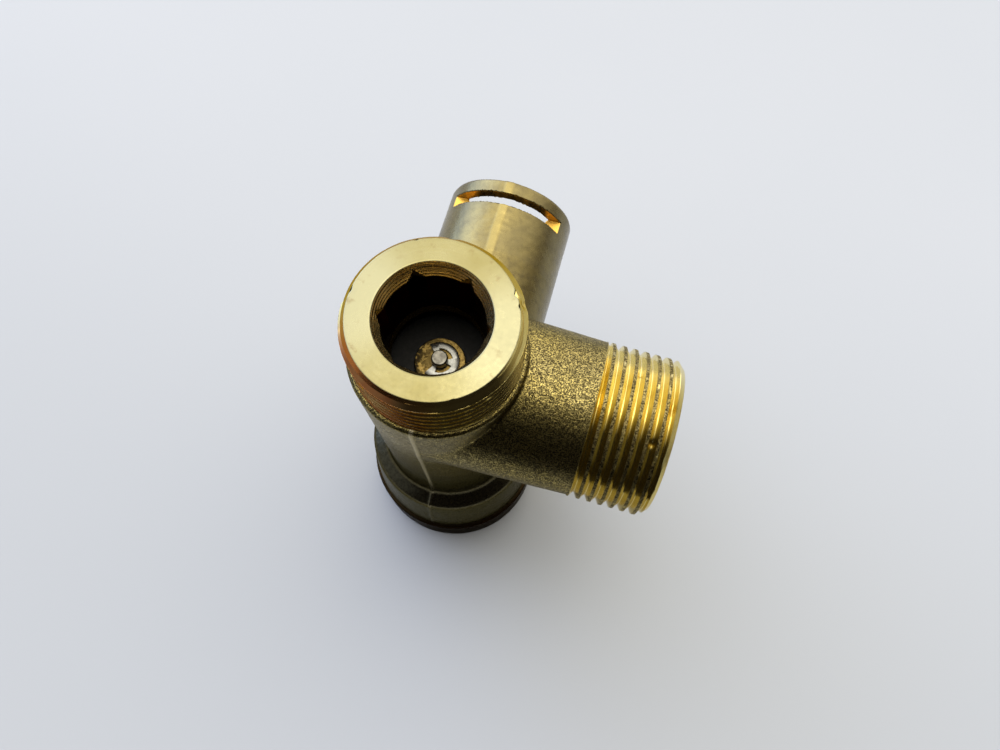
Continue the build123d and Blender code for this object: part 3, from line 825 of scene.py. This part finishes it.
# painted shade: the reflection tint is dimmed for the hollow bores and inner parts
INNER = turned_brass("turned_inner", rings=2400.0, tone=(0.26, 0.20, 0.095), dark=(0.19, 0.135, 0.06), edge_tint=(0.40, 0.31, 0.17, 1.0))
HUB = hub_brass()
STEEL = steel("stem_steel", (0.25, 0.235, 0.205), (0.32, 0.45), worn=0.35)
SPRING = steel("spring_steel", (0.26, 0.26, 0.25), (0.24, 0.34))
RUBBER = rubber()

for ob, mat, slot in ((cast_upper, CAST, "cast_brass"), (cast_lower, CAST, "cast_brass"), (socket_piece, SMOOTH, "cast_brass"), (bores, INNER, "turned_brass"),
                      (base_ring, RING, "turned_brass"), (top_thread, T_TOP, "turned_brass"), (side_thread, T_SIDE, "turned_brass"),
                      (face_ring, FACE, "turned_brass"), (bore_mouth, BORE, "turned_brass"), (side_face, SIDE, "turned_brass")):
    ob.data.materials.append(mat)
    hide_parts("valve_body")
    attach(ob, "housing")

top_clip.data.materials.append(SPRING)
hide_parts("upper_e_clip")
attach(top_clip, "stem_group")

coil.data.materials.append(SPRING)
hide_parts("return_spring")
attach(coil, "housing")
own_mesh(coil)

FINISH = {"stem": STEEL, "upper_e_clip": SPRING, "lower_e_clip": SPRING, "cap_e_clip": SPRING, "bonnet_retaining_ring": SPRING,
          "return_spring": SPRING, "upper_hub_washer": HUB}
for name, ob in NODES.items():
    if name in FINISH:
        mat = FINISH[name]
    elif "o_ring" in name and "spacer" not in name or "disc" in name:
        mat = RUBBER
    else:
        mat = INNER
    ob.data.materials.clear()
    ob.data.materials.append(mat)

# ---------------------------------------------------------------- floor, light, camera
floor_mesh = bpy.data.meshes.new("floor")
# a table top whose front edge runs parallel to the picture's lower edge, just below it
tx, ty = cos(radians(15.9)), sin(radians(15.9))
floor_mesh.from_pydata([(0.043 + a * tx - b * ty, -0.113 + a * ty + b * tx, 0) for a, b in ((-0.6, 0), (0.6, 0), (0.6, 0.85), (-0.6, 0.85))], [], [(0, 1, 2, 3)])
floor = bpy.data.objects.new("floor", floor_mesh)
bpy.context.scene.collection.objects.link(floor)
fm = Mat("floor_white")
fn1 = fm.noise(8, 3.0, 0.5)
fcol = fm.mix(fm.span(fn1, 0.3, 0.7, 0.0, 1.0), (0.535, 0.560, 0.600), (0.550, 0.572, 0.610))
# painted shade: the floor's colour is darker towards the front (-y)
fcol = fm.mix(fm.span(fm.xyz()[1], 0.12, -0.06, 0.0, 1.0, "SMOOTHSTEP"), fcol, (0.475, 0.498, 0.535))
floor_mesh.materials.append(fm.set(fcol, 0.6, 0.0, fm.bump(fm.noise(900, 3.0, 0.6), 0.05, 0.05), spec=0.2))


def direction(az, el):
    a, e = radians(az), radians(el)
    return (cos(a) * cos(e), sin(a) * cos(e), sin(e))


world = bpy.data.worlds.new("studio")
bpy.context.scene.world = world
world.use_nodes = True
wt = world.node_tree
wt.nodes.clear()
w_out = wt.nodes.new("ShaderNodeOutputWorld")
w_bg = wt.nodes.new("ShaderNodeBackground")
w_cam = wt.nodes.new("ShaderNodeBackground")
w_cam.inputs[0].default_value = (0.66, 0.69, 0.73, 1.0)
w_mix = wt.nodes.new("ShaderNodeMixShader")
w_path = wt.nodes.new("ShaderNodeLightPath")
wt.links.new(w_path.outputs["Is Camera Ray"], w_mix.inputs[0])
wt.links.new(w_bg.outputs[0], w_mix.inputs[1])
wt.links.new(w_cam.outputs[0], w_mix.inputs[2])
wt.links.new(w_mix.outputs[0], w_out.inputs[0])
w_dir = wt.nodes.new("ShaderNodeTexCoord").outputs["Generated"]

# soft lobes of light: direction, full within, gone beyond (degrees), colour
LOBES = [
    (103, 42, 26, 78, (2.20, 2.09, 1.84)),      # wide soft light behind and above
    (88, 78, 5, 17, (3.0, 2.8, 2.2)),          # brighter centre overhead
    (152, 9, 15, 46, (0.75, 1.25, 2.80)),     # bluish window, left and behind
    (140, 45, 12, 36, (0.55, 0.60, 0.66)),
    (28, 6, 10, 46, (0.40, 0.36, 0.28)),
    (200, 25, 10, 50, (0.30, 0.34, 0.42)),
]
total = None
for az, el, a0, a1, color in LOBES:
    d = wt.nodes.new("ShaderNodeVectorMath")
    d.operation = "DOT_PRODUCT"
    wt.links.new(w_dir, d.inputs[0])
    d.inputs[1].default_value = direction(az, el)
    r = wt.nodes.new("ShaderNodeMapRange")
    r.interpolation_type = "SMOOTHSTEP"
    r.inputs["From Min"].default_value = cos(radians(a1))
    r.inputs["From Max"].default_value = cos(radians(a0))
    wt.links.new(d.outputs["Value"], r.inputs["Value"])
    c = wt.nodes.new("ShaderNodeMix")
    c.data_type = "RGBA"
    c.inputs[6].default_value = (0, 0, 0, 1)
    c.inputs[7].default_value = (*color, 1.0)
    c.clamp_factor = False
    wt.links.new(r.outputs["Result"], c.inputs[0])
    if total is None:
        base = wt.nodes.new("ShaderNodeMix")
        base.data_type = "RGBA"
        base.blend_type = "ADD"
        base.inputs[0].default_value = 1.0
        base.inputs[6].default_value = (0.022, 0.019, 0.017, 1.0)
        wt.links.new(c.outputs[2], base.inputs[7])
        total = base.outputs[2]
    else:
        s = wt.nodes.new("ShaderNodeMix")
        s.data_type = "RGBA"
        s.blend_type = "ADD"
        s.inputs[0].default_value = 1.0
        wt.links.new(total, s.inputs[6])
        wt.links.new(c.outputs[2], s.inputs[7])
        total = s.outputs[2]
wt.links.new(total, w_bg.inputs[0])
w_bg.inputs[1].default_value = 1.0

cam_data = bpy.data.cameras.new("camera")
cam_data.sensor_width = 36.0
cam_data.sensor_fit = "HORIZONTAL"
cam_data.lens = 27.9
cam_data.clip_start = 0.005
cam_data.clip_end = 10.0
camera = bpy.data.objects.new("camera", cam_data)
bpy.context.scene.collection.objects.link(camera)
camera.matrix_world = Matrix(((0.96168, -0.26452, 0.07212, 0.018585), (0.27374, 0.91142, -0.30722, -0.037107),
                              (0.01554, 0.31519, 0.94890, 0.187892), (0, 0, 0, 1)))
bpy.context.scene.camera = camera
bpy.context.scene.view_settings.view_transform = "Standard"
bpy.context.scene.view_settings.look = "None"

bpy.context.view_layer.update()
for o in bpy.context.scene.objects:
    if o.type == "MESH" and not o.hide_render:
        print("PIECE", o.name, sum(len(p.vertices) - 2 for p in o.data.polygons))
